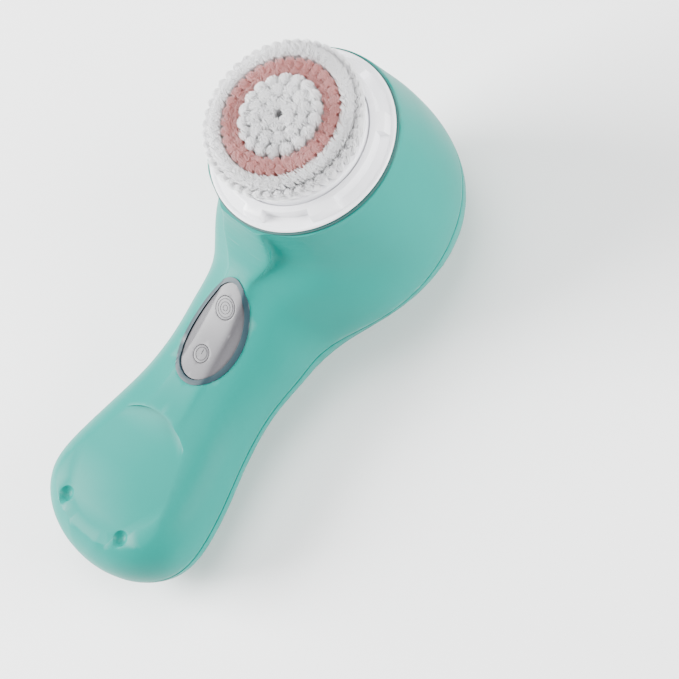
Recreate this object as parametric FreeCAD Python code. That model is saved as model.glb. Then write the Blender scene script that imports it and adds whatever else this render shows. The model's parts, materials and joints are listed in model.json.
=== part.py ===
import FreeCAD, Part
import math
import os

# Facial cleansing brush: a hand-held, rechargeable brush whose round head oscillates.
# Frame, in mm: Z is the axis of the brush head, +X runs from the handle towards the head,
# Z = 0 is the surface that the back rests on, and the origin is under the brush axis.

Vector = FreeCAD.Vector

# Housing outline
seat_height = 55.6          # deck that carries the brush head
seat_radius = 24.8
head_half_width = 30.8
head_squareness = 5.6       # how square the back of the head turns into its end wall
head_flare = 4.0            # how far the end wall stands out below the deck's edge
tail_reach = 112.3          # brush axis to the tip of the tail
tail_centre = 95.0          # brush axis to the widest place of the tail
tail_half_width = 23.2
tail_top = 29.2
tail_squareness = 2.5
neck_centre = 56.0          # brush axis to the narrowest place of the neck
neck_half_width = 17.1
elbow_reach = 34.0          # brush axis to the line that the head's sections turn about
elbow_half_width = 19.4
elbow_top = 41.5
elbow_squareness = 1.6
throat_bend = 7.0           # how far the neck's slope runs on before it turns up to the deck
back_hollow = 4.4           # how high the back arches behind the neck
head_step = 6
foot_cut = 0.4              # material taken off the back of the tail to make its flat
head_foot = 1.8             # the same for the back of the head, before its hollow
wall = 2.0

# Parting of the two shells
parting_tail = 13.6         # height of the parting line at the widest place of the tail
parting_head = 21.4         # and at the brush axis
parting_gap = 0.6
gasket_inset = 0.35
gasket_width = 1.1

# Charging face on the tail
charge_centre = 88.0        # brush axis to the middle of the flat face
charge_radius = 16.0
charge_height = 26.9
charge_tilt = 5.0           # degrees, falling towards the tail
dimple_radius = 2.3
dimple_depth = 1.3
dimple_angle = 35.5
dimple_reach = 17.4         # from the middle of the charging face
coil_radius = 10.0
coil_thickness = 1.2
ferrite_thickness = 0.8
charger_magnet_radius = 3.0
charger_magnet_thickness = 1.2

# Button pad on the neck
pad_centre = 48.0
pad_height = 34.2
pad_tilt = 22.7             # degrees, rising towards the head
pad_length = 29.0
pad_half_width = 8.5
pad_taper = 0.17            # share by which the head end is narrower
bezel_width = 1.3
bezel_proud = 0.25
pad_sink = 0.2
pad_thickness = 1.5
pad_gap = 0.1
button_travel = 0.5
button_gap = 0.15
speed_button_offset = 6.4   # along the pad, towards the head
speed_button_radius = 2.9
power_button_offset = 6.6   # along the pad, towards the tail
power_button_radius = 2.2
plunger_radius = 1.1

# Circuit board under the pad
board_depth = 7.2           # from the pad's middle down to the board's upper face
board_length = 24.0
board_width = 20.0
board_thickness = 1.2
switch_size = 3.4
switch_height = 1.6
board_screw_radius = 0.8

# Battery
cell_radius = 6.5
cell_length = 43.0
cell_tail_end = 101.0       # brush axis to the cell's far end
cell_height = 13.7
cradle_wall = 1.0
tab_thickness = 0.3

# Drive
shaft_radius = 2.5
shaft_play = 0.05
bearing_radius = 5.5
bearing_length = 4.0
chassis_tube_radius = 8.0
chassis_bottom = 30.0
chassis_top = 48.0
flange_height = 37.5
flange_thickness = 2.5
flange_radius = 19.5
boss_circle = 16.5
boss_radius = 3.0
chassis_screw_radius = 1.0
tray_height = 8.0
tray_thickness = 2.0
tray_half_length = 14.0
tray_half_width = 9.5
post_size = 3.0
core_half_length = 12.0
core_half_width = 5.0
core_base = 3.0
pole_width = 4.0
pole_height = 7.0
coil_play = 0.3
armature_gap = 0.7
magnet_thickness = 2.0
armature_thickness = 4.3
armature_half_length = 13.0
armature_half_width = 4.2
flexure_thickness = 0.8
boot_bore = 9.5             # radius of the hole in the deck
boot_wall = 1.0
boot_depth = 5.6            # from the deck down to the boot's floor
hub_radius = 6.0
hub_rise = 2.6              # from the deck up to the hub's top
spigot_radius = 4.2
spigot_rise = 4.4           # from the deck up to the spigot's top

# Brush head
seat_ring_inner = 22.1
seat_ring_outer = 24.4
seat_ring_height = 0.7
head_gap = 0.1              # running gap between the head and its seat
collar_radius = 24.0
rim_rise = 1.4              # from the deck up to the collar's rim
crest_rise = 4.6            # from the deck up to the collar's crest
collar_bore = 18.6
grip_count = 3
grip_span = 54.0            # degrees of each long recess for the fingers
grip_start = -111.0
web_span = 33.0             # degrees of each short recess between them
web_start = -43.5
ring_radius = 18.2
ring_bore = 15.0
tuft_rise = 5.8             # from the deck up to the top of both bristle carriers
plate_play = 0.3
foot_radius = 19.7          # flange of the outer carrier, under the collar's lip
finger_inner = 20.9
finger_thickness = 0.8
finger_span = 12.0          # degrees
twist_range = 20.0          # degrees that the collar turns to unlock
bristle_length = 9.2
center_bristle_length = 10.4
outer_tuft_count = 46
pink_outer_count = 34
pink_inner_count = 30

seat_top = seat_height + seat_ring_height
head_base = seat_top + head_gap
boot_floor = seat_height - boot_depth
hub_top = seat_height + hub_rise
spigot_top = seat_height + spigot_rise
collar_rim = seat_height + rim_rise
collar_crest = seat_height + crest_rise
tuft_base = seat_height + tuft_rise
bristle_top = tuft_base + bristle_length
center_bristle_top = tuft_base + center_bristle_length


def cylinder(radius, bottom, top, x=0.0, y=0.0):
    return Part.makeCylinder(radius, top - bottom, Vector(x, y, bottom))


def tube(inner, outer, bottom, top, x=0.0, y=0.0):
    return cylinder(outer, bottom, top, x, y).cut(cylinder(inner, bottom, top, x, y))


def block(x0, x1, y0, y1, z0, z1):
    return Part.makeBox(x1 - x0, y1 - y0, z1 - z0, Vector(x0, y0, z0))


def turned(profile):
    """Solid of revolution about Z from (radius, height) corners."""
    corners = [Vector(r, 0, z) for r, z in profile]
    face = Part.Face(Part.makePolygon(corners + corners[:1]))
    return face.revolve(Vector(0, 0, 0), Vector(0, 0, 1), 360)


def sector(inner, outer, bottom, top, start, span):
    """Part of a flat ring, from the angle start over span degrees."""
    wedge = Part.makeCylinder(outer, top - bottom, Vector(0, 0, bottom), Vector(0, 0, 1), span)
    wedge.rotate(Vector(0, 0, 0), Vector(0, 0, 1), start)
    return wedge.cut(cylinder(inner, bottom - 1, top + 1))


def section(front, back, half_width, squareness=2.0):
    """Half of the housing's outline in one plane, from its back point to its front point."""
    middle = (front + back) * 0.5
    reach = front - middle
    points = [back]
    count = 10
    for k in range(1, count):
        turn = math.pi * k / count
        along, across = -math.cos(turn), math.sin(turn)
        if along > 0:
            along = along ** (2 / squareness)
            across = across ** (2 / squareness)
        points.append(middle + reach * along + Vector(0, half_width * across, 0))
    points.append(front)
    curve = Part.BSplineCurve()
    curve.interpolate(Points=points, InitialTangent=Vector(0, 1, 0), FinalTangent=Vector(0, -1, 0))
    return Part.Wire([curve.toShape()])


def top_line(x):
    share = max(0.0, (x + tail_centre) / (tail_centre - elbow_reach))
    return tail_top + (elbow_top - tail_top) * share ** 3


def back_line(x):
    flat_start = elbow_reach - 19.0
    share = (x + tail_centre) / (tail_centre - flat_start)
    if share <= 0 or share >= 1:
        return -foot_cut
    return -foot_cut + back_hollow * math.sin(math.pi * share) ** 2


def handle_half_width(x):
    if x < -neck_centre:
        share = (-neck_centre - x) / (tail_centre - neck_centre)
        ease = (1 - math.cos(math.pi * share)) / 2
        return neck_half_width + (tail_half_width - neck_half_width) * ease
    share = (x + neck_centre) / (neck_centre - elbow_reach)
    return neck_half_width + (elbow_half_width - neck_half_width) * share ** 2


def squareness_at(x):
    """Squareness of the front half: boxy at the tail, round at the neck, peaked at the elbow."""
    if x < -neck_centre:
        return 2.0 + (tail_squareness - 2.0) * (-neck_centre - x) / (tail_centre - neck_centre)
    return 2.0 + (elbow_squareness - 2.0) * (x + neck_centre) / (neck_centre - elbow_reach)


def handle_section(x, inset, shrink=1.0):
    front = top_line(x) - inset
    back = back_line(x) + inset
    middle = (front + back) / 2
    half = (front - back) / 2 * shrink
    width = (handle_half_width(x) - inset) * shrink
    return section(Vector(x, 0, middle + half), Vector(x, 0, middle - half), width,
                   squareness_at(x))


def tail_sections(inset):
    """The tail's rounded end, from its tip to its widest place."""
    length = tail_reach - tail_centre - inset
    middle = (top_line(-tail_centre) + back_line(-tail_centre)) / 2
    wires = [Part.Vertex(-tail_centre - length, 0, middle)]
    for angle in (83, 74, 63, 50, 35, 18):
        turn = math.radians(angle)
        front = top_line(-tail_centre) - inset
        back = back_line(-tail_centre) + inset
        half = (front - back) / 2 * math.cos(turn)
        x = -tail_centre - length * math.sin(turn)
        width = (tail_half_width - inset) * math.cos(turn)
        wires.append(section(Vector(x, 0, middle + half), Vector(x, 0, middle - half), width,
                             tail_squareness))
    return wires


def throat_point(share, inset):
    """Point on the concave line from the neck's front up to the deck's edge."""
    slope = 3 * (elbow_top - tail_top) / (tail_centre - elbow_reach)
    start = Vector(-elbow_reach, 0, elbow_top - inset)
    bend = start + Vector(throat_bend + 0.4 * inset, 0, slope * throat_bend)
    end = Vector(-seat_radius + inset, 0, seat_height - inset)
    return start * (1 - share) ** 2 + bend * (2 * share * (1 - share)) + end * share ** 2


def head_sections(inset):
    """The head's sections turn about the elbow line, from upright to the level deck."""
    pivot = Vector(-elbow_reach, 0, seat_height - inset)
    wires = []
    for angle in range(head_step, 91, head_step):
        turn = math.radians(angle)
        ray = Vector(math.sin(turn), 0, -math.cos(turn))
        across = (math.sin(turn) / (elbow_reach + seat_radius)) ** head_squareness
        down = (math.cos(turn) / (seat_height + head_foot)) ** head_squareness
        outer = (across + down) ** (-1 / head_squareness)
        drop = back_line(-elbow_reach) + head_foot
        outer -= drop * math.cos(turn) ** 8 + inset * (1 + math.cos(turn))
        back = pivot + ray * outer
        level = (back.z - parting_head) / (seat_height - inset - parting_head)
        back.x += head_flare * math.cos(math.pi / 2 * level) * math.sin(turn)
        if angle < 45:
            low = elbow_half_width
        else:
            low = seat_radius
        width = low + (head_half_width - low) * math.sin(2 * turn) ** 1.2
        squareness = elbow_squareness + (2 - elbow_squareness) * (angle / 90) ** 3
        wires.append(section(throat_point(angle / 90, inset), back, width - inset, squareness))
    return wires


def housing(inset):
    """Solid inside the housing's surface, moved inwards by inset."""
    wires = tail_sections(inset)
    steps = 7
    for k in range(steps + 1):
        x = -tail_centre + (tail_centre - elbow_reach) * k / steps
        wires.append(handle_section(x, inset))
    wires += head_sections(inset)
    side = Part.makeLoft(wires, False, False)
    other = side.mirror(Vector(0, 0, 0), Vector(0, 1, 0))
    rim = wires[-1].Edges[0]
    deck = Part.Face(Part.Wire([rim, rim.mirror(Vector(0, 0, 0), Vector(0, 1, 0))]))
    body = Part.makeSolid(Part.makeShell(side.Faces + other.Faces + [deck]))
    reach = tail_reach + seat_radius
    return body.common(block(-2 * reach, reach, -reach, reach, inset, 3 * seat_height))


def parting_slope():
    return math.degrees(math.atan2(parting_head - parting_tail, tail_centre))


def below_parting(offset):
    """Everything below the parting plane, moved up along its normal by offset."""
    reach = 3 * tail_reach
    slab = block(-reach, reach, -reach, reach, -reach, offset)
    slab.rotate(Vector(0, 0, 0), Vector(0, 1, 0), -parting_slope())
    slab.translate(Vector(0, 0, parting_head))
    return slab


def place_on_pad(shape):
    """Move a shape made about the Z axis to the middle of the button pad, upright to it."""
    shape.rotate(Vector(0, 0, 0), Vector(0, 1, 0), -pad_tilt)
    shape.translate(Vector(-pad_centre, 0, pad_height))
    return shape


def place_on_charge(shape):
    """Move a shape made about the Z axis to the middle of the charging face."""
    shape.rotate(Vector(0, 0, 0), Vector(0, 1, 0), -charge_tilt)
    shape.translate(Vector(-charge_centre, 0, charge_height))
    return shape


def pad_prism(shrink, bottom, top):
    """Egg-shaped prism through the pad, its outline moved inwards by shrink."""
    half_length = pad_length / 2 - shrink
    half_width = pad_half_width - shrink
    points = []
    count = 24
    for k in range(count):
        turn = 2 * math.pi * k / count
        taper = 1 - pad_taper * math.cos(turn)
        points.append(Vector(half_length * math.cos(turn), half_width * math.sin(turn) * taper,
                             bottom))
    curve = Part.BSplineCurve()
    curve.interpolate(points, PeriodicFlag=True)
    face = Part.Face(Part.Wire([curve.toShape()]))
    return place_on_pad(face.extrude(Vector(0, 0, top - bottom)))


def pad_cylinder(offset, radius, bottom, top):
    return place_on_pad(cylinder(radius, bottom, top, offset, 0))


def pad_block(x0, x1, y0, y1, z0, z1):
    return place_on_pad(block(x0, x1, y0, y1, z0, z1))


def ring_places(count, radius, start=0.0):
    """Places on a circle about the brush axis."""
    places = []
    for k in range(count):
        turn = math.radians(start + 360.0 * k / count)
        places.append((radius * math.cos(turn), radius * math.sin(turn)))
    return places


def wire_tube(points, radius, bend):
    """Round wire through the points: straight runs joined by tangent arcs."""
    edges = []
    start = points[0]
    for before, corner, after in zip(points, points[1:], points[2:]):
        way_in = (corner - before).normalize()
        way_out = (after - corner).normalize()
        half_turn = way_in.getAngle(way_out) / 2
        trim = bend * math.tan(half_turn)
        first = corner - way_in * trim
        last = corner + way_out * trim
        inward = (way_out - way_in).normalize()
        centre = corner + inward * (bend / math.cos(half_turn))
        edges.append(Part.LineSegment(start, first).toShape())
        edges.append(Part.Arc(first, centre - inward * bend, last).toShape())
        start = last
    edges.append(Part.LineSegment(start, points[-1]).toShape())
    path = Part.Wire(edges)
    way = (points[1] - points[0]).normalize()
    profile = Part.Wire([Part.makeCircle(radius, points[0], way)])
    return path.makePipeShell([profile], True, False)


def facet_cutter():
    """Takes the flat charging face off the tail: round at the neck side, open to the tail."""
    reach = tail_reach - charge_centre + 10
    side = charge_radius + reach
    return place_on_charge(cylinder(charge_radius, 0, reach).fuse(
        block(-reach, 0, -side, side, 0, reach)))


def surface_height(outer, x, y):
    """Height of the housing's front surface over a point of the table."""
    line = Part.makeLine(Vector(x, y, parting_head), Vector(x, y, 2 * seat_height))
    return outer.common(line).BoundBox.ZMax


def dimple(outer, side):
    """Teardrop dimple in the tail's surface beside the charging face, its point to the tail."""
    turn = math.radians(180 - side * dimple_angle)
    x = -charge_centre + dimple_reach * math.cos(turn)
    y = dimple_reach * math.sin(turn)
    step = 0.5
    here = surface_height(outer, x, y)
    along = Vector(-step, 0, surface_height(outer, x - step, y) - here)
    across = Vector(0, step, surface_height(outer, x, y + step) - here)
    out = across.cross(along).normalize()
    drop = Part.makeSphere(dimple_radius, Vector(0, 0, 0)).fuse(
        Part.makeCone(dimple_radius * 0.98, 0.2, dimple_radius * 2.2, Vector(0, 0, 0), along))
    drop.translate(Vector(x, y, here) + out * (dimple_radius - dimple_depth))
    return drop


def front_shell(outer, cavity):
    backing = facet_cutter()
    backing.translate(Vector(0, 0, -wall))
    hollow = cavity.cut(backing)
    shell = outer.cut(hollow).cut(below_parting(parting_gap / 2))
    shell = shell.cut(facet_cutter())
    for side in (-1, 1):
        shell = shell.cut(dimple(outer.cut(facet_cutter()), side))
    shell = shell.cut(pad_prism(0, -2 * wall - 2, 10))
    shell = shell.cut(cylinder(boot_bore, seat_height - 2 * wall, seat_height + 1))
    for k in range(grip_count):
        start = 360.0 / grip_count * k - finger_span / 2 - 1
        slot = sector(finger_inner - 0.2, finger_inner + finger_thickness + 0.2,
                      seat_height - 2 * wall, seat_height + 1, start,
                      finger_span + twist_range + 2)
        shell = shell.cut(slot)
    for x, y in ring_places(4, boss_circle, 45):
        boss = cylinder(boss_radius, flange_height + flange_thickness, seat_height - wall / 2, x, y)
        bore = cylinder(chassis_screw_radius, flange_height, flange_height + 8, x, y)
        shell = shell.fuse(boss).cut(bore)
    for x, y in board_posts():
        post = pad_cylinder(0, 2.0, -board_depth, 8)
        post.translate(pad_vector(x, y))
        shell = shell.fuse(post.common(cavity).cut(pad_prism(-0.5, -wall - 1.2, 10)))
        pilot = pad_cylinder(0, board_screw_radius, -board_depth, -board_depth + 2.5)
        pilot.translate(pad_vector(x, y))
        shell = shell.cut(pilot)
    return shell


def pad_vector(along, across, up=0.0):
    """Vector given along the pad, across it and out of it."""
    tilt = math.radians(pad_tilt)
    return Vector(along * math.cos(tilt) - up * math.sin(tilt), across,
                  along * math.sin(tilt) + up * math.cos(tilt))


def board_posts():
    across = board_width / 2 - 2.2
    return [(-board_length / 2 + 2.4, across), (-board_length / 2 + 2.4, -across)]


def rear_shell(outer, cavity):
    shell = outer.cut(cavity).common(below_parting(-parting_gap / 2))
    for x in (-cell_tail_end + 4, -cell_tail_end + cell_length / 2):
        rib = block(x - 0.8, x + 0.8, -cell_radius, cell_radius, 0, cradle_bottom())
        shell = shell.fuse(rib.common(outer))
    return shell


def housing_gasket():
    band = housing(gasket_inset).cut(housing(gasket_inset + gasket_width))
    band = band.common(below_parting(parting_gap / 2))
    return band.cut(below_parting(-parting_gap / 2))


def button_bezel():
    skin = housing(-bezel_proud).cut(housing(wall))
    return skin.common(pad_prism(0, -8, 10)).cut(pad_prism(bezel_width, -9, 11))


def button_hole(offset, radius):
    return pad_cylinder(offset, radius + button_gap, -10, 10)


def button_pad(skin):
    pad = skin.common(pad_prism(bezel_width + pad_gap, -8, 10))
    pad = pad.cut(button_hole(speed_button_offset, speed_button_radius))
    return pad.cut(button_hole(-power_button_offset, power_button_radius))


def button(skin, offset, radius):
    """Disc flush with the pad, on a plunger that ends just above its switch."""
    disc = skin.common(pad_cylinder(offset, radius, -8, 10))
    low = -board_depth + switch_height + button_travel + 0.1
    plunger = pad_cylinder(offset, plunger_radius, low, 8)
    return disc.fuse(plunger.common(housing(pad_sink + pad_thickness / 2)))


def main_circuit_board():
    board = pad_block(-board_length / 2, board_length / 2, -board_width / 2, board_width / 2,
                      -board_depth - board_thickness, -board_depth)
    for x, y in board_posts():
        hole = pad_cylinder(0, board_screw_radius, -board_depth - 3, 0)
        hole.translate(pad_vector(x, y))
        board = board.cut(hole)
    return board


def board_screws():
    screws = []
    for x, y in board_posts():
        low = -board_depth - board_thickness
        screw = pad_cylinder(0, board_screw_radius, low, -board_depth + 2.4)
        screw = screw.fuse(pad_cylinder(0, 2 * board_screw_radius, low - 1, low))
        screw.translate(pad_vector(x, y))
        screws.append(screw)
    return screws


def tact_switches():
    switches = []
    half = switch_size / 2
    for offset in (speed_button_offset, -power_button_offset):
        body = pad_block(offset - half, offset + half, -half, half, -board_depth,
                         -board_depth + switch_height * 0.7)
        dome = pad_cylinder(offset, half * 0.6, -board_depth, -board_depth + switch_height)
        switches.append(body.fuse(dome))
    return switches


def status_leds():
    leds = []
    for y in (-1.6, 1.6):
        leds.append(pad_block(-0.5, 0.5, y - 0.8, y + 0.8, -board_depth, -board_depth + 0.8))
    return leds


def board_components():
    low = -board_depth
    chip = pad_block(-2, 2, 5, 9, low, low + 1)
    driver = pad_block(3, 8, -9, -5, low, low + 1.2)
    store = place_on_pad(cylinder(2.0, low, low + 3, 9.3, 6.0))
    choke = pad_block(-5, -1, -9, -5.5, low, low + 1.6)
    return [chip, driver, store, choke]


def cradle_bottom():
    return cell_height - cell_radius - cradle_wall


def battery_cell():
    cell = Part.makeCylinder(cell_radius, cell_length, Vector(-cell_tail_end, 0, cell_height),
                             Vector(1, 0, 0))
    return cell.makeFillet(0.6, cell.Edges[:1] + cell.Edges[2:])


def battery_cradle():
    start = -cell_tail_end + 2
    end = -cell_tail_end + cell_length - 9
    half = cell_radius + cradle_wall
    trough = block(start, end, -half, half, cradle_bottom(), cell_height - 1)
    seat = Part.makeCylinder(cell_radius, cell_length + 20,
                             Vector(-cell_tail_end - 10, 0, cell_height), Vector(1, 0, 0))
    return trough.cut(seat).common(housing(wall))


def battery_tabs():
    tabs = []
    for x in (-cell_tail_end - tab_thickness, -cell_tail_end + cell_length):
        tabs.append(block(x, x + tab_thickness, -2, 2, cell_height - 2, cell_height + 4))
    return tabs


def charging_coil():
    low = -wall - coil_thickness
    coil = tube(charger_magnet_radius + 0.6, coil_radius, low, -wall)
    return place_on_charge(coil)


def ferrite_disc():
    low = -wall - coil_thickness
    return place_on_charge(cylinder(coil_radius + 0.5, low - ferrite_thickness, low))


def charger_magnet():
    magnet = cylinder(charger_magnet_radius, -wall - charger_magnet_thickness, -wall)
    return place_on_charge(magnet)


def coil_leads():
    leads = []
    tilt = math.radians(charge_tilt)
    for side in (-1, 1):
        y = side * 2.5
        x = coil_radius + 0.5
        low = -wall - coil_thickness / 2
        start = Vector(-charge_centre + x * math.cos(tilt) - low * math.sin(tilt), y,
                       charge_height + x * math.sin(tilt) + low * math.cos(tilt))
        end = Vector(-pad_centre, 0, pad_height) + pad_vector(-board_length / 2 - 0.3, side * 4,
                                                              -board_depth - board_thickness / 2)
        middle = (start + end) * 0.5 + Vector(0, side * 1.0, -0.8)
        leads.append(wire_tube([start, middle, end], 0.4, 6))
    return leads


def motor_leads():
    leads = []
    for side in (-1, 1):
        start = Vector(-pad_centre, 0, pad_height) + pad_vector(board_length / 2 + 0.3, side * 3,
                                                                -board_depth - board_thickness / 2)
        turn_down = Vector(-flange_radius - 5, side * 3, 27)
        low = Vector(-flange_radius, side * 4, 18)
        end = Vector(-core_half_length + pole_width - 0.2, side * 6.5, coil_low() + 3)
        leads.append(wire_tube([start, turn_down, low, end], 0.4, 3))
    return leads


def core_bottom():
    return tray_height + tray_thickness


def pole_top():
    return core_bottom() + core_base + pole_height


def coil_low():
    return core_bottom() + core_base + coil_play


def motor_chassis():
    chassis = tube(bearing_radius, chassis_tube_radius, chassis_bottom, chassis_top)
    chassis = chassis.fuse(tube(chassis_tube_radius - 1, flange_radius, flange_height,
                                flange_height + flange_thickness))
    chassis = chassis.fuse(block(-tray_half_length, tray_half_length, -tray_half_width,
                                 tray_half_width, tray_height, tray_height + tray_thickness))
    for x in (-tray_half_length, tray_half_length - post_size):
        for y in (-tray_half_width, tray_half_width - post_size):
            chassis = chassis.fuse(block(x, x + post_size, y, y + post_size, tray_height,
                                         flange_height + 1))
    for x, y in ring_places(4, boss_circle, 45):
        chassis = chassis.cut(cylinder(chassis_screw_radius, flange_height - 1,
                                       flange_height + flange_thickness + 1, x, y))
    return chassis


def chassis_screws():
    screws = []
    for x, y in ring_places(4, boss_circle, 45):
        screw = cylinder(chassis_screw_radius, flange_height, flange_height + 7.5, x, y)
        screws.append(screw.fuse(cylinder(1.9 * chassis_screw_radius, flange_height - 1.4,
                                          flange_height, x, y)))
    return screws


def shaft_bearings():
    inner = shaft_radius + shaft_play
    lower = tube(inner, bearing_radius, chassis_bottom, chassis_bottom + bearing_length)
    upper = tube(inner, bearing_radius, chassis_top - bearing_length, chassis_top)
    return [lower, upper]


def stator_core():
    base = core_bottom()
    core = block(-core_half_length, core_half_length, -core_half_width, core_half_width, base,
                 base + core_base)
    for x in (-core_half_length, -pole_width / 2, core_half_length - pole_width):
        core = core.fuse(block(x, x + pole_width, -core_half_width, core_half_width, base,
                               pole_top()))
    return core.removeSplitter()


def stator_coil():
    inner_x = pole_width / 2 + coil_play
    outer_x = core_half_length - pole_width - coil_play
    inner_y = core_half_width + coil_play
    outer_y = inner_y + outer_x - inner_x
    top = pole_top() - 0.5
    coil = block(-outer_x, outer_x, -outer_y, outer_y, coil_low(), top)
    upright = [edge for edge in coil.Edges if abs(edge.BoundBox.ZLength - top + coil_low()) < 0.01]
    coil = coil.makeFillet(3.0, upright)
    return coil.cut(block(-inner_x, inner_x, -inner_y, inner_y, coil_low() - 1, top + 1))


def armature_bottom():
    return pole_top() + armature_gap + magnet_thickness


def armature():
    low = armature_bottom()
    bar = block(-armature_half_length, armature_half_length, -armature_half_width,
                armature_half_width, low, low + armature_thickness)
    bar = bar.common(cylinder(armature_half_length, low - 1, low + armature_thickness + 1))
    return bar.cut(cylinder(shaft_radius, low - 1, low + armature_thickness + 1))


def armature_magnets():
    magnets = []
    outer = armature_half_length - 1
    for side in (-1, 1):
        inner_end, outer_end = side * (outer - 6), side * outer
        magnets.append(block(min(inner_end, outer_end), max(inner_end, outer_end),
                             -armature_half_width + 0.5, armature_half_width - 0.5,
                             pole_top() + armature_gap, armature_bottom()))
    return magnets


def drive_shaft():
    return cylinder(shaft_radius, armature_bottom(), hub_top - 3)


def flexure_spring():
    low, top = chassis_top, chassis_top + flexure_thickness
    spring = tube(shaft_radius + shaft_play, chassis_tube_radius, low, top)
    for k in range(4):
        spring = spring.cut(sector(3.6, 4.2, low - 1, top + 1, 90 * k, 70))
        spring = spring.cut(sector(4.9, 5.5, low - 1, top + 1, 90 * k + 45, 70))
    return spring


def drive_boot():
    inner = hub_radius + 0.4
    outer = inner + boot_wall
    lip = seat_height + 0.5
    hole = shaft_radius + 0.15
    return turned([(hole, boot_floor), (outer, boot_floor), (outer, seat_height - wall),
                   (boot_bore, seat_height - wall), (boot_bore, lip), (inner, lip),
                   (inner, boot_floor + boot_wall), (hole, boot_floor + boot_wall)])


def lobed(radius, bottom, top):
    """Three-lobed drive spigot."""
    shape = cylinder(radius * 0.62, bottom, top)
    for x, y in ring_places(3, radius * 0.6):
        shape = shape.fuse(cylinder(radius * 0.4, bottom, top, x, y))
    return shape.removeSplitter()


def drive_hub():
    hub = cylinder(hub_radius, boot_floor + boot_wall + 0.5, hub_top)
    hub = hub.fuse(lobed(spigot_radius, hub_top - 0.5, spigot_top))
    return hub.cut(cylinder(shaft_radius, boot_floor, hub_top - 3))


def head_seat_ring():
    return tube(seat_ring_inner, seat_ring_outer, seat_height, seat_top)


def locking_collar():
    lip = head_base + 1.2
    web = foot_radius + 0.3
    collar = turned([(web, head_base), (collar_radius - 0.3, head_base),
                     (collar_radius, head_base + 0.3), (collar_radius, collar_rim - 0.2),
                     (collar_radius - 0.3, collar_rim + 0.1), (collar_radius - 0.9, collar_rim + 0.1),
                     (collar_radius - 1.3, collar_rim - 0.1), (collar_radius - 1.9, collar_crest - 0.9),
                     (collar_radius - 2.4, collar_crest - 0.5), (web, collar_crest),
                     (collar_bore + 0.3, collar_crest), (collar_bore, collar_crest - 0.3),
                     (collar_bore, lip), (web, lip)])
    for k in range(grip_count):
        for start, span in ((grip_start, grip_span), (web_start, web_span)):
            recess = sector(web + 0.3, collar_radius - 1.0, collar_rim, collar_crest + 1,
                            start + 360.0 / grip_count * k, span)
            collar = collar.cut(recess)
    return collar


def collar_latch_tabs():
    tabs = []
    under = seat_height - wall
    for k in range(grip_count):
        start = 360.0 / grip_count * k - finger_span / 2
        finger = sector(finger_inner, finger_inner + finger_thickness, under - 1.2, head_base, start,
                        finger_span)
        barb = sector(finger_inner - 1.0, finger_inner + finger_thickness, under - 1.2, under - 0.2,
                      start, finger_span)
        tabs.append(finger.fuse(barb))
    return tabs


def outer_brush_ring():
    step = head_base + 2.4
    flange = head_base + 1.0
    return turned([(ring_bore + 1.3, head_base), (foot_radius, head_base), (foot_radius, flange),
                   (ring_radius, flange), (ring_radius, tuft_base), (ring_bore, tuft_base),
                   (ring_bore, step), (ring_bore + 1.3, step)])


def inner_plate_retainer():
    return tube(12.0, ring_bore + 1.3, head_base, head_base + 0.6)


def inner_brush_plate():
    flange_low = head_base + 0.8
    flange_top = head_base + 2.2
    plate = turned([(0, flange_low), (ring_bore + 0.9, flange_low), (ring_bore + 0.9, flange_top),
                    (ring_bore - plate_play, flange_top), (ring_bore - plate_play, tuft_base),
                    (0, tuft_base)])
    plate = plate.cut(cylinder(hub_radius + 0.4, flange_low - 1, hub_top + 0.2))
    return plate.cut(lobed(spigot_radius + 0.2, flange_low, spigot_top + 0.2))


def tuft_row(count, foot_circle, tip_circle, top, foot_radius, tip_radius, swirl=0.0, start=0.0):
    """Ring of leaning, widening tufts; swirl turns the tips round the axis, in degrees."""
    tufts = []
    feet = ring_places(count, foot_circle, start)
    tips = ring_places(count, tip_circle, start + swirl)
    for (foot_x, foot_y), (tip_x, tip_y) in zip(feet, tips):
        foot = Part.Wire([Part.makeCircle(foot_radius, Vector(foot_x, foot_y, tuft_base))])
        tip = Part.Wire([Part.makeCircle(tip_radius, Vector(tip_x, tip_y, top))])
        tufts.append(Part.makeLoft([foot, tip], True, True))
    return tufts


def outer_tufts():
    stagger = 180.0 / outer_tuft_count
    outer_row = tuft_row(outer_tuft_count, ring_radius - 1.1, collar_radius - 3.8, bristle_top - 1.2,
                         0.75, 0.95)
    inner_row = tuft_row(outer_tuft_count, ring_bore + 0.95, ring_bore + 2.4, bristle_top,
                         0.65, 0.85, 0.0, stagger)
    return outer_row + inner_row


def pink_tufts():
    outer_row = tuft_row(pink_outer_count, ring_bore - 1.4, ring_bore - 1.0, bristle_top, 0.75, 0.95)
    inner_row = tuft_row(pink_inner_count, ring_bore - 3.2, ring_bore - 3.1, bristle_top, 0.75, 0.9)
    return outer_row + inner_row


def center_tufts():
    tufts = tuft_row(18, 9.4, 9.3, center_bristle_top, 1.1, 1.25, 14)
    tufts += tuft_row(12, 6.5, 6.5, center_bristle_top, 1.1, 1.25, 14)
    return tufts + tuft_row(7, 3.7, 3.7, center_bristle_top - 0.6, 1.0, 1.1, 14)


def write(name, *shapes):
    shape = shapes[0] if len(shapes) == 1 else Part.makeCompound(list(shapes))
    shape.exportStep("parts/" + name + ".step")
    print(name, len(shape.Solids), shape.isValid(), round(shape.Volume, 1))


os.makedirs("parts", exist_ok=True)
outer = housing(0)
cavity = housing(wall)
pad_skin = housing(pad_sink).cut(housing(pad_sink + pad_thickness))

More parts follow.
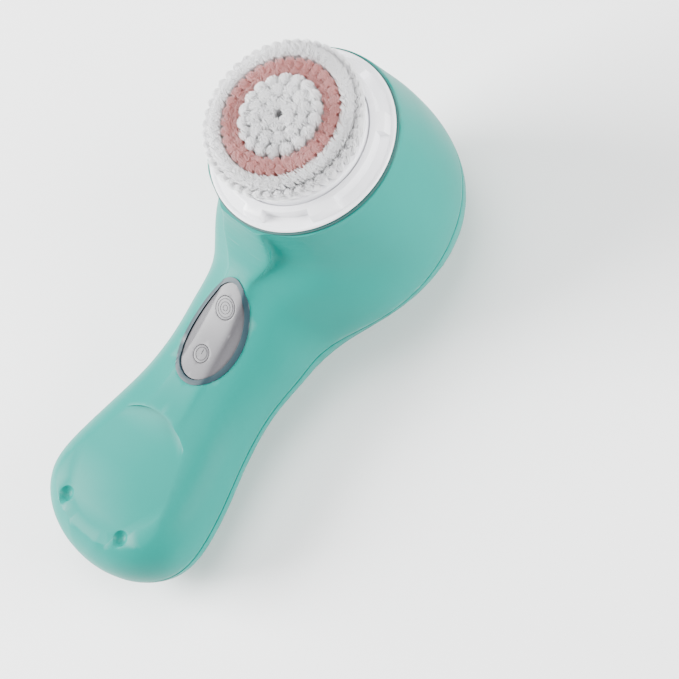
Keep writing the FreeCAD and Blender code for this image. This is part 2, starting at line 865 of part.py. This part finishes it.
write("front_shell", front_shell(outer, cavity))
write("rear_shell", rear_shell(outer, cavity))
write("housing_gasket", housing_gasket())
write("head_seat_ring", head_seat_ring())
write("button_bezel", button_bezel())
write("button_pad", button_pad(pad_skin))
write("speed_button", button(pad_skin, speed_button_offset, speed_button_radius))
write("power_button", button(pad_skin, -power_button_offset, power_button_radius))
write("main_circuit_board", main_circuit_board())
write("board_screws", *board_screws())
write("tact_switches", *tact_switches())
write("status_leds", *status_leds())
write("board_components", *board_components())
write("battery_cell", battery_cell())
write("battery_cradle", battery_cradle())
write("battery_tabs", *battery_tabs())
write("charging_coil", charging_coil())
write("ferrite_disc", ferrite_disc())
write("charger_magnet", charger_magnet())
write("coil_leads", *coil_leads())
write("motor_leads", *motor_leads())
write("motor_chassis", motor_chassis())
write("chassis_screws", *chassis_screws())
write("shaft_bearings", *shaft_bearings())
write("stator_core", stator_core())
write("stator_coil", stator_coil())
write("armature", armature())
write("armature_magnets", *armature_magnets())
write("drive_shaft", drive_shaft())
write("flexure_spring", flexure_spring())
write("drive_boot", drive_boot())
write("drive_hub", drive_hub())
write("locking_collar", locking_collar())
write("collar_latch_tabs", *collar_latch_tabs())
write("outer_brush_ring", outer_brush_ring())
write("inner_plate_retainer", inner_plate_retainer())
write("inner_brush_plate", inner_brush_plate())
write("outer_tufts", *outer_tufts())
write("pink_tufts", *pink_tufts())
write("center_tufts", *center_tufts())
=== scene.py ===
import bpy
import json
import math
import random
from mathutils import Matrix, Vector


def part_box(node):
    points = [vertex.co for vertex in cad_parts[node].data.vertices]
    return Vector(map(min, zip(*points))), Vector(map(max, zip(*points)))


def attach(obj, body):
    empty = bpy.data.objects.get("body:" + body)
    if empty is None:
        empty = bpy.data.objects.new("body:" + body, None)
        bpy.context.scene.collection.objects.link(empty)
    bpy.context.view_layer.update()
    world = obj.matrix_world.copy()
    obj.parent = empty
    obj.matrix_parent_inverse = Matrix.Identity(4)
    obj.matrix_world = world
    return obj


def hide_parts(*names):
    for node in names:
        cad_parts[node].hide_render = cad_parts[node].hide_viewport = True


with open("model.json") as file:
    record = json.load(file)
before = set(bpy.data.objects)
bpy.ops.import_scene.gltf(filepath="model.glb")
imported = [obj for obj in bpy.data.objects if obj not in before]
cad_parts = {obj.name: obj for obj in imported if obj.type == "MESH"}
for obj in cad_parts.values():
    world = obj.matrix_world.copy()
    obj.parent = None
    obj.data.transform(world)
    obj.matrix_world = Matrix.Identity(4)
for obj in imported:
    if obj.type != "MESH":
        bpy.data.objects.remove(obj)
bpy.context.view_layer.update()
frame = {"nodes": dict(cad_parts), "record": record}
nodes = frame["nodes"]


random.seed(7)
print("frame loaded:", len(nodes), "nodes")

# places taken from the frame
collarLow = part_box("locking_collar")[0]
joints = frame["record"]["behaviour"]["joints"]
pressAxis = next(j for j in joints if j["name"] == "speed_press")["axis"]
padOut = -Vector(pressAxis).normalized()
padAlong = Vector((0, 1, 0)).cross(padOut)    # along the pad, towards the head


def selectOnly(*pieces):
    bpy.ops.object.select_all(action="DESELECT")
    for piece in pieces:
        piece.select_set(True)
    bpy.context.view_layer.objects.active = pieces[0]


def applyModifiers(piece):
    selectOnly(piece)
    for modifier in list(piece.modifiers):
        bpy.ops.object.modifier_apply(modifier=modifier.name)


def settle(piece, body, slotName, *replaced):
    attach(piece, body)
    if replaced:
        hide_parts(*replaced)
    return piece


def newGroup(name, inputs, outputs):
    group = bpy.data.node_groups.new(name, "ShaderNodeTree")
    for label, kind, value in inputs:
        socket = group.interface.new_socket(label, in_out="INPUT", socket_type=kind)
        if value is not None:
            socket.default_value = value
    for label, kind in outputs:
        group.interface.new_socket(label, in_out="OUTPUT", socket_type=kind)
    return group, group.nodes.new("NodeGroupInput"), group.nodes.new("NodeGroupOutput")


def mouldedSurfaceGroup():
    # colour patches, uneven gloss and fine grain, shared by every material
    group, into, out = newGroup("mouldedSurface", [
        ("Vector", "NodeSocketVector", None),
        ("Colour", "NodeSocketColor", (0.5, 0.5, 0.5, 1)),
        ("Tint", "NodeSocketColor", (0.5, 0.5, 0.5, 1)),
        ("Roughness", "NodeSocketFloat", 0.4),
        ("Roughness Spread", "NodeSocketFloat", 0.1),
        ("Patch Scale", "NodeSocketFloat", 30.0),
        ("Grain Scale", "NodeSocketFloat", 2500.0),
    ], [("Colour", "NodeSocketColor"), ("Roughness", "NodeSocketFloat"), ("Height", "NodeSocketFloat")])
    tree = group.nodes
    link = group.links.new
    patch = tree.new("ShaderNodeTexNoise")
    patch.inputs["Detail"].default_value = 3
    link(into.outputs["Vector"], patch.inputs["Vector"])
    link(into.outputs["Patch Scale"], patch.inputs["Scale"])
    grain = tree.new("ShaderNodeTexNoise")
    grain.inputs["Detail"].default_value = 2
    link(into.outputs["Vector"], grain.inputs["Vector"])
    link(into.outputs["Grain Scale"], grain.inputs["Scale"])
    mix = tree.new("ShaderNodeMix")
    mix.data_type = "RGBA"
    link(patch.outputs["Fac"], mix.inputs[0])
    link(into.outputs["Colour"], mix.inputs[6])
    link(into.outputs["Tint"], mix.inputs[7])
    link(mix.outputs[2], out.inputs["Colour"])
    centred = tree.new("ShaderNodeMath")
    centred.operation = "SUBTRACT"
    centred.inputs[1].default_value = 0.5
    link(patch.outputs["Fac"], centred.inputs[0])
    rough = tree.new("ShaderNodeMath")
    rough.operation = "MULTIPLY_ADD"
    link(centred.outputs[0], rough.inputs[0])
    link(into.outputs["Roughness Spread"], rough.inputs[1])
    link(into.outputs["Roughness"], rough.inputs[2])
    link(rough.outputs[0], out.inputs["Roughness"])
    link(grain.outputs["Fac"], out.inputs["Height"])
    return group


def paintedShadeHighlightGroup():
    # paints shade into hollows and a highlight along edges, from the surface's own curvature
    group, into, out = newGroup("paintedShadeHighlight", [
        ("Colour", "NodeSocketColor", (0.5, 0.5, 0.5, 1)),
        ("Painted Hollow Shade", "NodeSocketFloat", 0.3),
        ("Edge", "NodeSocketFloat", 0.2),
    ], [("Colour", "NodeSocketColor")])
    tree = group.nodes
    link = group.links.new
    geometry = tree.new("ShaderNodeNewGeometry")
    hollow = tree.new("ShaderNodeMapRange")
    hollow.inputs["From Min"].default_value = 0.46
    hollow.inputs["From Max"].default_value = 0.36
    edge = tree.new("ShaderNodeMapRange")
    edge.inputs["From Min"].default_value = 0.54
    edge.inputs["From Max"].default_value = 0.66
    last = into.outputs["Colour"]
    # hollows are multiplied darker as painted shade, and edges screened lighter as a painted highlight
    for ramp, amount, shade in ((hollow, "Painted Hollow Shade", 0.25), (edge, "Edge", 1.0)):
        link(geometry.outputs["Pointiness"], ramp.inputs["Value"])
        strength = tree.new("ShaderNodeMath")
        strength.operation = "MULTIPLY"
        link(ramp.outputs[0], strength.inputs[0])
        link(into.outputs[amount], strength.inputs[1])
        mix = tree.new("ShaderNodeMix")
        mix.data_type = "RGBA"
        mix.blend_type = "MULTIPLY" if shade < 1 else "SCREEN"
        mix.inputs[7].default_value = (shade, shade, shade, 1) if shade < 1 else (0.5, 0.5, 0.5, 1)
        link(strength.outputs[0], mix.inputs[0])
        link(last, mix.inputs[6])
        last = mix.outputs[2]
    link(last, out.inputs["Colour"])
    return group


grainDepth = 0.00005     # height of the fine grain
surfaceGroup = mouldedSurfaceGroup()
paintedLightGroup = paintedShadeHighlightGroup()


def rgb(red, green, blue):
    # screen colour 0..255 to the linear colour that a shader wants
    linear = [((v / 255 + 0.055) / 1.055) ** 2.4 if v > 10 else v / 3295 for v in (red, green, blue)]
    return (*linear, 1)


def finish(name, look):
    material = bpy.data.materials.new(name)
    material.use_nodes = True
    tree = material.node_tree.nodes
    link = material.node_tree.links.new
    shader = tree["Principled BSDF"]
    place = tree.new("ShaderNodeTexCoord")
    surface = tree.new("ShaderNodeGroup")
    surface.node_tree = surfaceGroup
    link(place.outputs["Object"], surface.inputs["Vector"])
    surface.inputs["Colour"].default_value = look["colour"]
    surface.inputs["Tint"].default_value = look.get("tint", look["colour"])
    surface.inputs["Roughness"].default_value = look["roughness"]
    surface.inputs["Roughness Spread"].default_value = look.get("spread", 0.12)
    surface.inputs["Patch Scale"].default_value = look.get("patch", 60)
    surface.inputs["Grain Scale"].default_value = look.get("grain", 3000)
    # painted shade in hollows and a painted highlight on edges, from the surface's curvature
    edge = tree.new("ShaderNodeGroup")
    edge.node_tree = paintedLightGroup
    edge.inputs["Painted Hollow Shade"].default_value = look.get("hollow", 0.2)
    edge.inputs["Edge"].default_value = look.get("edge", 0.1)
    link(surface.outputs["Colour"], edge.inputs["Colour"])
    link(edge.outputs["Colour"], shader.inputs["Base Color"])
    link(surface.outputs["Roughness"], shader.inputs["Roughness"])
    bump = tree.new("ShaderNodeBump")
    bump.inputs["Strength"].default_value = look.get("bump", 0.1)
    bump.inputs["Distance"].default_value = grainDepth
    link(surface.outputs["Height"], bump.inputs["Height"])
    link(bump.outputs["Normal"], shader.inputs["Normal"])
    for socket, value in look.get("sockets", {}).items():
        shader.inputs[socket].default_value = value
    return material


def addBands(material, look):
    # even bands along one axis: coil turns, stacked sheets
    tree = material.node_tree.nodes
    link = material.node_tree.links.new
    place = tree["Texture Coordinate"]
    bands = tree.new("ShaderNodeTexWave")
    bands.bands_direction = look["along"]
    bands.inputs["Scale"].default_value = look["scale"]
    link(place.outputs["Object"], bands.inputs["Vector"])
    bump = next(n for n in tree if n.bl_idname == "ShaderNodeBump")
    bump.inputs["Strength"].default_value = 0.6
    bump.inputs["Distance"].default_value = 0.0002
    link(bands.outputs["Fac"], bump.inputs["Height"])
    return material


softPlastic = {"Subsurface Weight": 0.1, "Subsurface Radius": (1.0, 1.0, 1.0), "Subsurface Scale": 0.0015}
thinFibre = {"Subsurface Weight": 0.5, "Subsurface Radius": (1.0, 1.0, 1.0), "Subsurface Scale": 0.002,
             "Specular IOR Level": 0.2}
# in each look, the hollow amount paints shade into hollows and the edge amount paints a highlight on edges
materials = {
    "shell_teal": finish("shellTeal", {
        "colour": rgb(0, 121, 111), "tint": rgb(0, 126, 116), "roughness": 0.42, "spread": 0.06,
        "patch": 45, "grain": 5200, "bump": 0.05, "hollow": 0.35, "edge": 0.08,
        "sockets": {"IOR": 1.3, "Specular IOR Level": 0.3}}),
    "gasket_dark_teal": finish("gasketDarkTeal", {
        "colour": rgb(2, 66, 64), "tint": rgb(4, 74, 70), "roughness": 0.6, "grain": 4000}),
    "bezel_slate": finish("bezelSlate", {
        "colour": rgb(22, 46, 54), "tint": rgb(28, 54, 62), "roughness": 0.5, "edge": 0.2,
        "sockets": {"Specular IOR Level": 0.35}}),
    "pad_grey": finish("padGrey", {
        "colour": rgb(76, 76, 80), "tint": rgb(88, 85, 89), "roughness": 0.45, "grain": 6000,
        "bump": 0.12, "hollow": 0.5, "edge": 0.15}),
    "board_green": finish("boardGreen", {
        "colour": rgb(20, 92, 52), "tint": rgb(30, 116, 66), "roughness": 0.35, "patch": 900}),
    "zinc_steel": finish("zincSteel", {
        "colour": rgb(176, 178, 182), "tint": rgb(150, 152, 158), "roughness": 0.3,
        "sockets": {"Metallic": 1.0}}),
    "component_black": finish("componentBlack", {
        "colour": rgb(28, 28, 30), "tint": rgb(40, 40, 44), "roughness": 0.5, "grain": 5000}),
    "led_clear": finish("ledClear", {
        "colour": rgb(238, 240, 224), "roughness": 0.1, "sockets": {"Coat Weight": 0.6}}),
    "cell_wrap": finish("cellWrap", {
        "colour": rgb(44, 84, 158), "tint": rgb(52, 96, 170), "roughness": 0.25,
        "sockets": {"Coat Weight": 0.4}}),
    "chassis_grey": finish("chassisGrey", {
        "colour": rgb(120, 122, 126), "tint": rgb(132, 134, 138), "roughness": 0.55, "grain": 2200}),
    "nickel": finish("nickelPlate", {
        "colour": rgb(206, 202, 194), "tint": rgb(190, 186, 178), "roughness": 0.18,
        "sockets": {"Metallic": 1.0}}),
    "copper_wire": addBands(finish("copperWire", {
        "colour": rgb(196, 112, 62), "tint": rgb(168, 90, 48), "roughness": 0.3,
        "sockets": {"Metallic": 1.0}}), {"along": "Z", "scale": 900}),
    "ferrite_grey": finish("ferriteGrey", {
        "colour": rgb(64, 64, 68), "tint": rgb(78, 78, 82), "roughness": 0.7, "bump": 0.3}),
    "lead_red": finish("leadRed", {
        "colour": rgb(188, 36, 34), "tint": rgb(168, 30, 30), "roughness": 0.4}),
    "bearing_bronze": finish("bearingBronze", {
        "colour": rgb(184, 144, 92), "tint": rgb(166, 126, 78), "roughness": 0.35,
        "sockets": {"Metallic": 1.0}}),
    "lamination_steel": addBands(finish("laminationSteel", {
        "colour": rgb(132, 134, 138), "tint": rgb(110, 112, 116), "roughness": 0.4,
        "sockets": {"Metallic": 1.0}}), {"along": "Y", "scale": 700}),
    "boot_rubber": finish("bootRubber", {
        "colour": rgb(60, 66, 68), "tint": rgb(70, 76, 78), "roughness": 0.65, "bump": 0.2}),
    "hub_white": finish("hubWhite", {
        "colour": rgb(232, 232, 228), "tint": rgb(224, 224, 222), "roughness": 0.35}),
    "brush_white": finish("brushWhite", {
        "colour": rgb(243, 243, 246), "tint": rgb(238, 238, 243), "roughness": 0.28, "spread": 0.05,
        "hollow": 0.18, "edge": 0.2, "bump": 0.03,
        "sockets": {**softPlastic, "Coat Weight": 0.2, "Coat Roughness": 0.15}}),
    "bristle_white": finish("bristleWhite", {
        "colour": rgb(253, 253, 253), "tint": rgb(249, 249, 251), "roughness": 0.5, "patch": 700,
        "hollow": 0.0, "edge": 0.0, "bump": 0.0, "sockets": dict(thinFibre)}),
    "bristle_pink": finish("bristlePink", {
        "colour": rgb(202, 112, 106), "tint": rgb(212, 134, 128), "roughness": 0.5, "patch": 900,
        "hollow": 0.0, "edge": 0.0, "bump": 0.0, "sockets": dict(thinFibre)}),
}
slotOf = {part["node"]: part["material_slot"] for part in frame["record"]["subparts"]}
bodyOf = {node: body for body, members in frame["record"]["behaviour"]["bodies"].items() for node in members}


def dress(piece, slotName):
    piece.data.materials.clear()
    piece.data.materials.append(materials[slotName])


for nodeName, node in nodes.items():
    dress(node, slotOf[nodeName])
print("materials made:", len(materials))


def mergedPiece(nodeName, pieceName, edge):
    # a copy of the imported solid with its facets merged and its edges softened
    piece = nodes[nodeName].copy()
    piece.data = nodes[nodeName].data.copy()
    bpy.context.scene.collection.objects.link(piece)
    piece.name = pieceName
    piece.data.name = pieceName
    piece.parent = None
    for key in list(piece.keys()):
        del piece[key]
    selectOnly(piece)
    if piece.data.has_custom_normals:
        bpy.ops.mesh.customdata_custom_splitnormals_clear()
    bpy.ops.object.mode_set(mode="EDIT")
    bpy.ops.mesh.select_all(action="SELECT")
    bpy.ops.mesh.remove_doubles(threshold=mergeDistance)
    bpy.ops.object.mode_set(mode="OBJECT")
    if edge["width"] > 0:
        bevel = piece.modifiers.new("softEdges", "BEVEL")
        bevel.width = edge["width"]
        bevel.segments = edge.get("segments", 2)
        bevel.limit_method = "ANGLE"
        bevel.angle_limit = math.radians(edge["angle"])
        bevel.use_clamp_overlap = True
        applyModifiers(piece)
    selectOnly(piece)
    bpy.ops.object.shade_smooth_by_angle(angle=math.radians(edge["smooth"]))
    return settle(piece, bodyOf[nodeName], slotOf[nodeName], nodeName)


mergeDistance = 2e-6
shellEdges = {"width": 0.00015, "angle": 35, "smooth": 40}
trimEdges = {"width": 0.00012, "angle": 35, "smooth": 40}
rigidPieces = {
    "front_shell": ("frontShell", shellEdges),
    "rear_shell": ("rearShell", shellEdges),
    "housing_gasket": ("partingGasket", {"width": 0, "smooth": 40}),
    "head_seat_ring": ("headSeatRing", trimEdges),
    "button_bezel": ("buttonBezel", {"width": 0.0003, "segments": 3, "angle": 35, "smooth": 45}),
    "button_pad": ("buttonPad", {"width": 0.00018, "segments": 2, "angle": 35, "smooth": 45}),
    "speed_button": ("speedButton", trimEdges),
    "power_button": ("powerButton", trimEdges),
    "locking_collar": ("lockingCollar", {"width": 0.0002, "angle": 30, "smooth": 45}),
    "outer_brush_ring": ("outerBrushRing", trimEdges),
    "inner_brush_plate": ("innerBrushPlate", trimEdges),
}
pieces = {}
for nodeName, (pieceName, edge) in rigidPieces.items():
    pieces[nodeName] = mergedPiece(nodeName, pieceName, edge)
print("rigid pieces made:", len(pieces))

# raised marks on the buttons: rings, and a ring with a short stroke
markWidth = 0.00018
rimDepth = 0.001      # how far below its crown a button's rim may lie
rayStart = 0.005      # where the rays that find the face begin, above it
buttonMarks = {
    "speed_button": {"rings": (0.0023, 0.0015, 0.0007), "stroke": 0},
    "power_button": {"rings": (0.0016,), "stroke": 0.0011},
}


def faceCentre(nodeName):
    # middle of a button's face: halfway across its rim both ways, as high as its crown
    points = [v.co for v in nodes[nodeName].data.vertices]
    crown = max(p.dot(padOut) for p in points)
    rim = [p for p in points if p.dot(padOut) > crown - rimDepth]
    centre = padOut * crown
    for axis in (Vector((0, 1, 0)), padAlong):
        reaches = [p.dot(axis) for p in rim]
        centre = centre + axis * (min(reaches) + max(reaches)) / 2
    return centre


def drapeOnFace(mark, button, centre):
    # stands the mark upright to the pad, then lowers each point by the fall of the face below it
    turn = padOut.to_track_quat("Z", "Y").to_matrix().to_4x4()
    mark.data.transform(Matrix.Translation(centre) @ turn)
    for vertex in mark.data.vertices:
        found, spot, _, _ = button.ray_cast(vertex.co + padOut * rayStart, -padOut)
        if found:
            flat = vertex.co - padOut * (vertex.co - centre).dot(padOut)
            vertex.co += padOut * (spot - flat).dot(padOut)


def addButtonMarks(nodeName, marks):
    button = pieces[nodeName]
    centre = faceCentre(nodeName)
    made = []
    for radius in marks["rings"]:
        bpy.ops.object.select_all(action="DESELECT")
        bpy.ops.mesh.primitive_torus_add(major_radius=radius, minor_radius=markWidth / 2,
                                         major_segments=72, minor_segments=10, location=(0, 0, 0))
        made.append(bpy.context.view_layer.objects.active)
    if marks["stroke"]:
        bpy.ops.object.select_all(action="DESELECT")
        bpy.ops.mesh.primitive_uv_sphere_add(segments=24, ring_count=12, radius=markWidth / 2,
                                             location=(0, 0, 0))
        stroke = bpy.context.view_layer.objects.active
        turn = padOut.to_track_quat("Z", "Y").to_matrix()
        along = turn.transposed() @ padAlong
        for vertex in stroke.data.vertices:
            if vertex.co.dot(along) > 0:
                vertex.co += along * marks["stroke"]
        made.append(stroke)
    for mark in made:
        drapeOnFace(mark, button, centre)
        mark.data.materials.append(markMaterial)
        selectOnly(mark)
        bpy.ops.object.shade_smooth()
    selectOnly(button, *made)
    bpy.ops.object.join()


markMaterial = finish("markGrey", {
    "colour": rgb(50, 50, 54), "tint": rgb(60, 58, 62), "roughness": 0.5, "grain": 6000})
for nodeName, marks in buttonMarks.items():
    addButtonMarks(nodeName, marks)
print("button marks made")


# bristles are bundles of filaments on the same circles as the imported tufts
bristles = {
    "filamentRadius": 0.00010,
    "filamentTip": 0.6,      # tip radius as a share of the foot's
    "variants": 4,
    "raggedness": 0.025,     # how unevenly the tips end, as a share of the length
    "turnSpread": 0.3,       # radians off the even spiral, either way
    "tipSpread": 0.00009,    # sideways wander of a tip
}
tuftRows = {
    "outer_tufts": [
        {"count": 46, "foot": 0.0171, "tip": 0.0202, "footRadius": 0.0007, "tipRadius": 0.00142,
         "swirl": 0, "start": 0, "share": 0.90, "dome": 0.12, "slant": 0.12, "filaments": 120},
        {"count": 46, "foot": 0.01595, "tip": 0.0171, "footRadius": 0.00065, "tipRadius": 0.00190,
         "swirl": 0, "start": 180 / 46, "share": 1.0, "dome": 0.0, "slant": 0.08, "filaments": 150}],
    "pink_tufts": [
        {"count": 34, "foot": 0.0136, "tip": 0.0138, "footRadius": 0.00075, "tipRadius": 0.00135,
         "swirl": 0, "start": 0, "share": 0.985, "dome": 0.02, "slant": 0.0, "filaments": 130},
        {"count": 30, "foot": 0.0118, "tip": 0.0119, "footRadius": 0.00075, "tipRadius": 0.00140,
         "swirl": 0, "start": 0, "share": 0.965, "dome": 0.02, "slant": 0.0, "filaments": 130}],
    "center_tufts": [
        {"count": 18, "foot": 0.0094, "tip": 0.0092, "footRadius": 0.0011, "tipRadius": 0.00175,
         "swirl": 14, "start": 0, "share": 0.985, "dome": 0.09, "slant": 0.05, "filaments": 180},
        {"count": 12, "foot": 0.0065, "tip": 0.0063, "footRadius": 0.0011, "tipRadius": 0.00190,
         "swirl": 14, "start": 0, "share": 1.0, "dome": 0.05, "slant": 0.0, "filaments": 180},
        {"count": 7, "foot": 0.0037, "tip": 0.0028, "footRadius": 0.0010, "tipRadius": 0.00190,
         "swirl": 14, "start": 0, "share": 0.985, "dome": 0.04, "slant": -0.08, "filaments": 170}],
}
goldenTurn = math.pi * (3 - math.sqrt(5))


def joinMeshes(name, meshes, matrices):
    copies = []
    for mesh, matrix in zip(meshes, matrices):
        own = mesh.copy()
        own.transform(matrix)
        piece = bpy.data.objects.new(name, own)
        bpy.context.scene.collection.objects.link(piece)
        copies.append(piece)
    selectOnly(*copies)
    bpy.ops.object.join()
    joined = bpy.context.view_layer.objects.active
    joined.name = name
    return joined


def leaningMatrix(footPoint, tipPoint, height):
    # upright piece with its foot at the origin, sheared so that its top comes to tipPoint
    lean = (tipPoint - footPoint) / height
    matrix = Matrix.Identity(4)
    for axis in range(3):
        matrix[axis][2] = lean[axis]
        matrix[axis][3] = footPoint[axis]
    return matrix


def makeFilament(height):
    bpy.ops.object.select_all(action="DESELECT")
    radius = bristles["filamentRadius"]
    bpy.ops.mesh.primitive_cone_add(vertices=4, radius1=radius, radius2=radius * bristles["filamentTip"],
                                    depth=height, location=(0, 0, height / 2))
    bpy.ops.object.transform_apply(location=True, rotation=True, scale=True)
    return bpy.context.view_layer.objects.active


def makeTuft(row, height):
    filament = makeFilament(height)
    matrices = []
    for k in range(row["filaments"]):
        reach = math.sqrt((k + 0.5) / row["filaments"])
        turn = k * goldenTurn + random.uniform(-bristles["turnSpread"], bristles["turnSpread"])
        footRadius = row["footRadius"] * reach
        tipRadius = row["tipRadius"] * reach
        outwards = math.cos(turn) * reach
        # the tuft is domed, and cut at a slant on its outer side
        fall = row["dome"] * reach ** 2.5 + row["slant"] * max(outwards, 0) ** 2
        length = height * (row["share"] - fall - random.uniform(0, bristles["raggedness"]))
        foot = Vector((math.cos(turn), math.sin(turn), 0)) * footRadius
        tip = Vector((math.cos(turn), math.sin(turn), 0)) * tipRadius
        tip += Vector((random.uniform(-1, 1), random.uniform(-1, 1), 0)) * bristles["tipSpread"]
        tip.z = length
        matrices.append(leaningMatrix(foot, tip, height))
    tuft = joinMeshes("tuft", [filament.data] * len(matrices), matrices)
    bpy.data.objects.remove(filament)
    return tuft


def makeTuftField(nodeName, pieceName):
    low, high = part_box(nodeName)
    height = high.z - low.z
    meshes = []
    matrices = []
    spares = []
    for row in tuftRows[nodeName]:
        variants = [makeTuft(row, height) for _ in range(bristles["variants"])]
        spares += variants
        for k in range(row["count"]):
            turn = math.radians(row["start"]) + 2 * math.pi * k / row["count"]
            swirled = turn + math.radians(row["swirl"])
            foot = Vector((math.cos(turn) * row["foot"], math.sin(turn) * row["foot"], low.z))
            tip = Vector((math.cos(swirled) * row["tip"], math.sin(swirled) * row["tip"], high.z))
            meshes.append(random.choice(variants).data)
            matrices.append(leaningMatrix(foot, tip, height) @ Matrix.Rotation(turn, 4, "Z"))
    field = joinMeshes(pieceName, meshes, matrices)
    for spare in spares:
        bpy.data.objects.remove(spare)
    dress(field, slotOf[nodeName])
    return settle(field, bodyOf[nodeName], slotOf[nodeName], nodeName)


makeTuftField("outer_tufts", "outerBristles")
makeTuftField("pink_tufts", "pinkBristles")
makeTuftField("center_tufts", "centerBristles")
print("bristles made")

studio = {"floorSize": 12.0, "floorColour": (0.93, 0.93, 0.93, 1), "worldStrength": 0.35}


def makeFloor():
    bpy.ops.object.select_all(action="DESELECT")
    bpy.ops.mesh.primitive_plane_add(size=studio["floorSize"], location=(0, 0, 0))
    floor = bpy.context.view_layer.objects.active
    floor.name = "studioFloor"
    material = bpy.data.materials.new("studioFloor")
    material.use_nodes = True
    shader = material.node_tree.nodes["Principled BSDF"]
    shader.inputs["Base Color"].default_value = studio["floorColour"]
    shader.inputs["Roughness"].default_value = 0.8
    floor.data.materials.append(material)


def addLamp(name, place, size, power, aim):
    lamp = bpy.data.lights.new(name, "AREA")
    lamp.shape = "SQUARE"
    lamp.size = size
    lamp.energy = power
    holder = bpy.data.objects.new(name, lamp)
    bpy.context.scene.collection.objects.link(holder)
    holder.location = place
    holder.rotation_euler = (Vector(aim) - Vector(place)).to_track_quat("-Z", "Y").to_euler()


def makeWorld():
    world = bpy.data.worlds.new("studioWorld")
    bpy.context.scene.world = world
    world.use_nodes = True
    world.node_tree.nodes["Background"].inputs["Color"].default_value = (1, 1, 1, 1)
    world.node_tree.nodes["Background"].inputs["Strength"].default_value = studio["worldStrength"]


cameraSetup = {
    "distance": 0.6, "lens": 134,
    "azimuth": -5.7,    # degrees round the brush axis, from straight across the body
    "tilt": 30,         # degrees from looking straight down the brush axis
    "roll": -47,
    "aside": 0.0089, "below": 0.0475,   # where the camera aims, from the collar's centre
}


def makeCamera():
    turn = Matrix.Rotation(math.radians(cameraSetup["azimuth"]), 3, "Z")
    turn = turn @ Matrix.Rotation(math.radians(cameraSetup["tilt"]), 3, "X")
    turn = turn @ Matrix.Rotation(math.radians(cameraSetup["roll"]), 3, "Z")
    right, up, back = (turn @ Vector(axis) for axis in ((1, 0, 0), (0, 1, 0), (0, 0, 1)))
    lens = bpy.data.cameras.new("studioCamera")
    lens.lens = cameraSetup["lens"]
    lens.clip_start = 0.01
    camera = bpy.data.objects.new("studioCamera", lens)
    bpy.context.scene.collection.objects.link(camera)
    aim = Vector((0, 0, collarLow.z)) + right * cameraSetup["aside"] - up * cameraSetup["below"]
    camera.matrix_world = Matrix.Translation(aim + back * cameraSetup["distance"]) @ turn.to_4x4()
    bpy.context.scene.camera = camera


makeFloor()
makeWorld()
addLamp("leftLamp", (-0.45, 0.50, 0.40), 0.45, 24.0, (-0.03, 0, 0.03))
addLamp("rightLamp", (0.30, -0.60, 0.28), 0.45, 12.0, (-0.03, 0, 0.03))
addLamp("topLamp", (0.10, 0.05, 0.75), 0.50, 6.0, (0, 0, 0.03))
makeCamera()
print("studio made")
